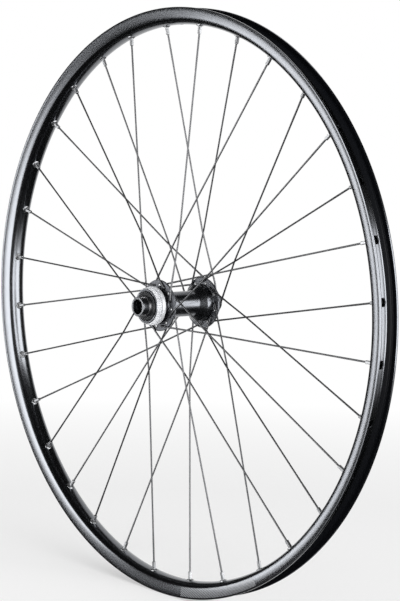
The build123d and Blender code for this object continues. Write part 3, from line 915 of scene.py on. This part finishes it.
world = bpy.data.worlds.new("studio")
bpy.context.scene.world = world
world.use_nodes = True
nodes, links = world.node_tree.nodes, world.node_tree.links
nodes.clear()
output = nodes.new("ShaderNodeOutputWorld")
fill = nodes.new("ShaderNodeBackground")
fill.inputs["Color"].default_value = (1, 1, 1, 1)
fill.inputs["Strength"].default_value = 0.2
plain = nodes.new("ShaderNodeBackground")
plain.inputs["Color"].default_value = (1, 1, 1, 1)
plain.inputs["Strength"].default_value = 1.0
mix = nodes.new("ShaderNodeMixShader")
links.new(background_share(nodes, links), mix.inputs[0])
links.new(fill.outputs[0], mix.inputs[1])
links.new(plain.outputs[0], mix.inputs[2])
links.new(mix.outputs[0], output.inputs[0])


def softbox(name, azimuths, elevations, distance, level, roll=0.0):
    """A soft lamp of an even level that faces the wheel, between two azimuths and two elevations."""
    turn = math.radians(sum(azimuths) / 2)
    rise = math.radians(sum(elevations) / 2)
    data = bpy.data.lights.new(name, "AREA")
    data.shape = "RECTANGLE"
    data.size = 2 * distance * math.tan(math.radians(azimuths[1] - azimuths[0]) / 2)
    data.size_y = 2 * distance * math.tan(math.radians(elevations[1] - elevations[0]) / 2)
    data.energy = level * math.pi * data.size * data.size_y
    lamp = bpy.data.objects.new(name, data)
    bpy.context.scene.collection.objects.link(lamp)
    way = Vector((math.cos(turn) * math.cos(rise), math.sin(turn) * math.cos(rise), math.sin(rise)))
    lamp.location = way * distance
    lamp.rotation_mode = "QUATERNION"
    lamp.rotation_quaternion = way.to_track_quat("Z", "Y") @ Quaternion((0, 0, 1), math.radians(roll))
    lamp.visible_camera = False
    return lamp


def flag(name, azimuths, elevations, distance=6.5):
    """A curved black card, between two azimuths and two elevations, seen only in reflections."""
    points, faces = [], []
    across, high = 24, 8
    for i in range(across + 1):
        turn = math.radians(azimuths[0] + (azimuths[1] - azimuths[0]) * i / across)
        for k in range(high + 1):
            rise = math.radians(elevations[0] + (elevations[1] - elevations[0]) * k / high)
            way = Vector((math.cos(turn) * math.cos(rise), math.sin(turn) * math.cos(rise), math.sin(rise)))
            points.append(way * distance)
    for i in range(across):
        for k in range(high):
            corner = i * (high + 1) + k
            faces.append((corner, corner + high + 1, corner + high + 2, corner + 1))
    mesh = bpy.data.meshes.new(name)
    mesh.from_pydata(points, [], faces)
    card = bpy.data.objects.new(name, mesh)
    bpy.context.scene.collection.objects.link(card)
    card.visible_camera = False
    card.visible_shadow = False
    card.visible_diffuse = False
    card.visible_transmission = False
    mesh.materials.append(flag_look)


flag_look = bpy.data.materials.new("flag_black")
flag_look.use_nodes = True
flag_look.node_tree.nodes["Principled BSDF"].inputs["Base Color"].default_value = (0.01, 0.01, 0.01, 1)
flag_look.node_tree.nodes["Principled BSDF"].inputs["Roughness"].default_value = 0.9

# Azimuths are counted from +X towards +Y. The camera stands at about -40 degrees.
softbox("front_softbox", (-131, -60), (-18, 12), 4.5, 4.6, -13)
softbox("side_softbox", (-151.5, -143), (-10, 2), 4.5, 5.6, -10)
softbox("back_softbox", (-24, 47), (-17, 26), 4.5, 4.7)
softbox("top_softbox", (-100, -20), (52, 88), 3.0, 2.2).visible_glossy = False
flag("front_strip", (-60, -24), (-60, 60))
flag("side_strip", (-160, -130), (-60, 60))
flag("back_strip", (47, 100), (-60, 60))
flag("far_strip", (157, 200), (-60, 60))
flag("low_cap", (-200, 70), (-89, -24))
flag("low_back_cap", (70, 160), (-89, -58))
flag("high_cap", (-200, 90), (28, 89))
flag("high_back_cap", (90, 160), (56, 89))

# Camera
AZIMUTH, ELEVATION, ROLL = (math.radians(d) for d in (49.571, 5.815, 1.247))
DISTANCE = 2.05829
AIM_RIGHT, AIM_UP = 0.024209, 0.004507
FOCAL_PIXELS, IMAGE_HEIGHT = 1910.58, 601
SENSOR = 36.0
level = Vector((math.cos(AZIMUTH), math.sin(AZIMUTH), 0))
back = Vector((math.sin(AZIMUTH) * math.cos(ELEVATION),
               -math.cos(AZIMUTH) * math.cos(ELEVATION), math.sin(ELEVATION)))
upright = back.cross(level)
right = level * math.cos(ROLL) + upright * math.sin(ROLL)
up = upright * math.cos(ROLL) - level * math.sin(ROLL)
camera_data = bpy.data.cameras.new("camera")
camera_data.sensor_width = SENSOR
camera_data.lens = SENSOR * FOCAL_PIXELS / IMAGE_HEIGHT
camera = bpy.data.objects.new("camera", camera_data)
bpy.context.scene.collection.objects.link(camera)
place = level * AIM_RIGHT + upright * AIM_UP + back * DISTANCE
camera.matrix_world = Matrix.Translation(place) @ Matrix((right, up, back)).transposed().to_4x4()
bpy.context.scene.camera = camera
bpy.context.scene.view_settings.view_transform = "Standard"
